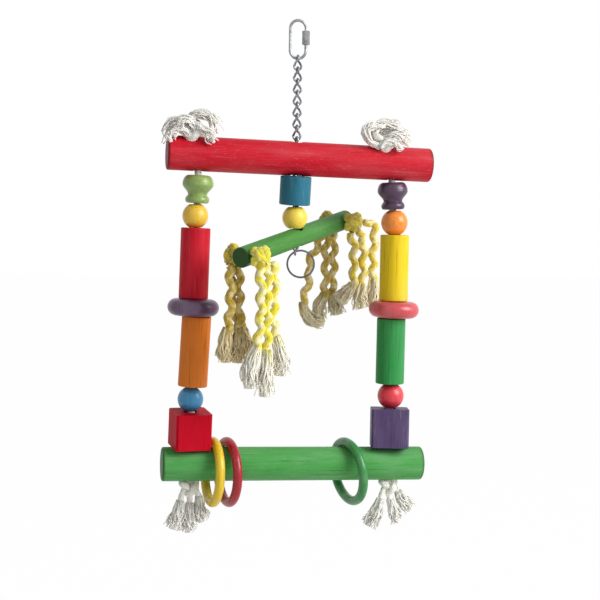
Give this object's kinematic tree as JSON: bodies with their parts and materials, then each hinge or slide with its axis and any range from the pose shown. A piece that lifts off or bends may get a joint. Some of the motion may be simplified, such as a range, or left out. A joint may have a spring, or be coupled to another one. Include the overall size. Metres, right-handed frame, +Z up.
{
  "type": "bird swing",
  "caption": "Hanging bird swing of dyed wood: two bars on strung ropes of beads, discs and blocks, loose wooden rings on the bottom perch, a cross perch with rope tassels, and a steel chain.",
  "frame": {"origin": "middle of the wire at the top of the quick link, where it hangs", "axes": "+Z up along the chain, +X along the bars to the viewer's right, +Y away from the viewer"},
  "size_m": [0.1993, 0.1105, 0.3762],
  "materials": {
    "steel": "bright plated wire",
    "red_dye": "dyed wood, satin",
    "green_dye": "dyed wood, satin",
    "blue_dye": "dyed wood, satin",
    "yellow_dye": "dyed wood, satin",
    "orange_dye": "dyed wood, satin",
    "purple_dye": "dyed wood, satin",
    "cotton": "twisted cotton rope",
    "strand_dye": "crimped cotton yarn, yellow and white"
  },
  "bodies": {
    "hang_eye": {"quick_link": "steel"},
    "nut": {"sleeve_nut": "steel"},
    "link_1": {"chain_link_1": "steel"},
    "link_2": {"chain_link_2": "steel"},
    "link_3": {"chain_link_3": "steel"},
    "link_4": {"chain_link_4": "steel"},
    "link_5": {"chain_link_5": "steel"},
    "link_6": {"chain_link_6": "steel"},
    "spine": {"chain_link_7": "steel", "inner_chain": "steel"},
    "swing": {"top_bar": "red_dye", "bottom_perch": "green_dye", "left_rope": "cotton", "right_rope": "cotton", "left_tail_1": "cotton", "left_tail_2": "cotton", "left_tail_3": "cotton", "right_tail_1": "cotton", "right_tail_2": "cotton", "right_tail_3": "cotton"},
    "hanger_dowel_bead": {"hanger_dowel": "blue_dye"},
    "hanger_ball_bead": {"hanger_ball": "yellow_dye"},
    "perch_cross": {"cross_perch": "green_dye", "near_rope": "strand_dye", "far_rope": "strand_dye", "near_front_strand_1": "strand_dye", "near_front_strand_2": "strand_dye", "near_front_strand_3": "strand_dye", "near_back_strand_1": "strand_dye", "near_back_strand_2": "strand_dye", "near_back_strand_3": "strand_dye", "far_back_strand_1": "strand_dye", "far_back_strand_2": "strand_dye", "far_back_strand_3": "strand_dye", "far_front_strand_1": "strand_dye", "far_front_strand_2": "strand_dye", "far_front_strand_3": "strand_dye"},
    "ring_split": {"split_ring": "steel"},
    "left_turned_bead_body": {"left_turned_bead": "green_dye"},
    "left_upper_ball_body": {"left_upper_ball": "yellow_dye"},
    "left_upper_dowel_body": {"left_upper_dowel": "red_dye"},
    "left_disc_body": {"left_disc": "purple_dye"},
    "left_lower_dowel_body": {"left_lower_dowel": "orange_dye"},
    "left_lower_ball_body": {"left_lower_ball": "blue_dye"},
    "left_block_body": {"left_block": "red_dye"},
    "right_turned_bead_body": {"right_turned_bead": "purple_dye"},
    "right_upper_ball_body": {"right_upper_ball": "orange_dye"},
    "right_upper_dowel_body": {"right_upper_dowel": "yellow_dye"},
    "right_disc_body": {"right_disc": "red_dye"},
    "right_lower_dowel_body": {"right_lower_dowel": "green_dye"},
    "right_lower_ball_body": {"right_lower_ball": "red_dye"},
    "right_block_body": {"right_block": "purple_dye"},
    "yellow_ring_body": {"yellow_ring": "yellow_dye"},
    "red_ring_body": {"red_ring": "red_dye"},
    "green_ring_body": {"green_ring": "green_dye"}
  },
  "joints": [
    {"name": "nut_slide", "type": "slide", "parent": "hang_eye", "child": "nut", "axis": [0, 0, -1], "range_m": [0, 0.004]},
    {"name": "swing_swivel", "type": "hinge", "parent": "spine", "child": "swing", "pos_m": [0, 0, -0.1], "axis": [0, 0, 1], "continuous": true},
    {"name": "cross_perch_turn", "type": "hinge", "parent": "swing", "child": "perch_cross", "pos_m": [0, 0, -0.15765], "axis": [0, 0, 1], "range_deg": [-10, 80]},
    {"name": "hanger_dowel_spin", "type": "hinge", "parent": "swing", "child": "hanger_dowel_bead", "pos_m": [-0.0005, 0, -0.12324], "axis": [0.0276, -0.0697, 0.9972], "continuous": true},
    {"name": "hanger_ball_spin", "type": "hinge", "parent": "perch_cross", "child": "hanger_ball_bead", "pos_m": [-0.00073, -0.00068, -0.14307], "axis": [0, 0, 1], "continuous": true},
    {"name": "split_ring_swing", "type": "hinge", "parent": "spine", "child": "ring_split", "pos_m": [0, 0, -0.17024], "axis": [0.1959, 0.9806, 0], "range_deg": [0, 45]},
    {"name": "yellow_ring_swing", "type": "hinge", "parent": "swing", "child": "yellow_ring_body", "pos_m": [-0.0596, 0, -0.32454], "axis": [0.9916, 0.1218, -0.0436], "range_deg": [-30, 30]},
    {"name": "red_ring_swing", "type": "hinge", "parent": "swing", "child": "red_ring_body", "pos_m": [-0.0484, 0, -0.32478], "axis": [0.9816, 0.1908, -0.0087], "range_deg": [-30, 30]},
    {"name": "green_ring_swing", "type": "hinge", "parent": "swing", "child": "green_ring_body", "pos_m": [0.0432, 0, -0.32671], "axis": [0.9998, 0, -0.0211], "range_deg": [-30, 30]},
    {"name": "left_turned_bead_spin", "type": "hinge", "parent": "swing", "child": "left_turned_bead_body", "pos_m": [-0.0723, 0, -0.1234], "axis": [0.0436, 0, 0.999], "continuous": true},
    {"name": "left_upper_ball_spin", "type": "hinge", "parent": "swing", "child": "left_upper_ball_body", "pos_m": [-0.0739, 0, -0.14263], "axis": [0, 0, 1], "continuous": true},
    {"name": "left_upper_dowel_spin", "type": "hinge", "parent": "swing", "child": "left_upper_dowel_body", "pos_m": [-0.0742, 0, -0.17691], "axis": [0.0279, 0, 0.9996], "continuous": true},
    {"name": "left_disc_spin", "type": "hinge", "parent": "swing", "child": "left_disc_body", "pos_m": [-0.0749, -0.0003, -0.20894], "axis": [0.0349, 0, 0.9994], "continuous": true},
    {"name": "left_lower_dowel_spin", "type": "hinge", "parent": "swing", "child": "left_lower_dowel_body", "pos_m": [-0.0737, -0.0007, -0.24108], "axis": [0.0523, 0, 0.9986], "continuous": true},
    {"name": "left_lower_ball_spin", "type": "hinge", "parent": "swing", "child": "left_lower_ball_body", "pos_m": [-0.0765, -0.0013, -0.27601], "axis": [0, 0, 1], "continuous": true},
    {"name": "left_block_spin", "type": "hinge", "parent": "swing", "child": "left_block_body", "pos_m": [-0.0766, -0.00092, -0.29818], "axis": [0.021, -0.0698, 0.9973], "range_deg": [-5, 3]},
    {"name": "right_turned_bead_spin", "type": "hinge", "parent": "swing", "child": "right_turned_bead_body", "pos_m": [0.0735, 0, -0.12598], "axis": [-0.0436, 0, 0.999], "continuous": true},
    {"name": "right_upper_ball_spin", "type": "hinge", "parent": "swing", "child": "right_upper_ball_body", "pos_m": [0.0752, 0, -0.14579], "axis": [0, 0, 1], "continuous": true},
    {"name": "right_upper_dowel_spin", "type": "hinge", "parent": "swing", "child": "right_upper_dowel_body", "pos_m": [0.0757, 0, -0.17954], "axis": [0, 0, 1], "continuous": true},
    {"name": "right_disc_spin", "type": "hinge", "parent": "swing", "child": "right_disc_body", "pos_m": [0.0761, 0.0003, -0.21079], "axis": [0.0279, 0, 0.9996], "continuous": true},
    {"name": "right_lower_dowel_spin", "type": "hinge", "parent": "swing", "child": "right_lower_dowel_body", "pos_m": [0.0743, 0.0007, -0.24196], "axis": [0.007, 0, 1], "continuous": true},
    {"name": "right_lower_ball_spin", "type": "hinge", "parent": "swing", "child": "right_lower_ball_body", "pos_m": [0.0752, 0.0013, -0.27607], "axis": [0, 0, 1], "continuous": true},
    {"name": "right_block_spin", "type": "hinge", "parent": "swing", "child": "right_block_body", "pos_m": [0.0746, 0.001, -0.30018], "axis": [0.021, 0.0698, 0.9973], "continuous": true},
    {"name": "chain_1_rock", "type": "hinge", "parent": "hang_eye", "child": "link_1", "pos_m": [0, 0, -0.0274], "axis": [1, 0, 0], "range_deg": [-12, 12]},
    {"name": "chain_2_rock", "type": "hinge", "parent": "link_1", "child": "link_2", "pos_m": [0, 0, -0.03369], "axis": [0, 1, 0], "range_deg": [-12, 12]},
    {"name": "chain_3_rock", "type": "hinge", "parent": "link_2", "child": "link_3", "pos_m": [0, 0, -0.04401], "axis": [1, 0, 0], "range_deg": [-12, 12]},
    {"name": "chain_4_rock", "type": "hinge", "parent": "link_3", "child": "link_4", "pos_m": [0, 0, -0.05052], "axis": [0, 1, 0], "range_deg": [-12, 12]},
    {"name": "chain_5_rock", "type": "hinge", "parent": "link_4", "child": "link_5", "pos_m": [0, 0, -0.06084], "axis": [1, 0, 0], "range_deg": [-12, 12]},
    {"name": "chain_6_rock", "type": "hinge", "parent": "link_5", "child": "link_6", "pos_m": [0, 0, -0.06735], "axis": [0, 1, 0], "range_deg": [-12, 12]},
    {"name": "chain_7_rock", "type": "hinge", "parent": "link_6", "child": "spine", "pos_m": [0, 0, -0.07767], "axis": [1, 0, 0], "range_deg": [-12, 12]}
  ]
}
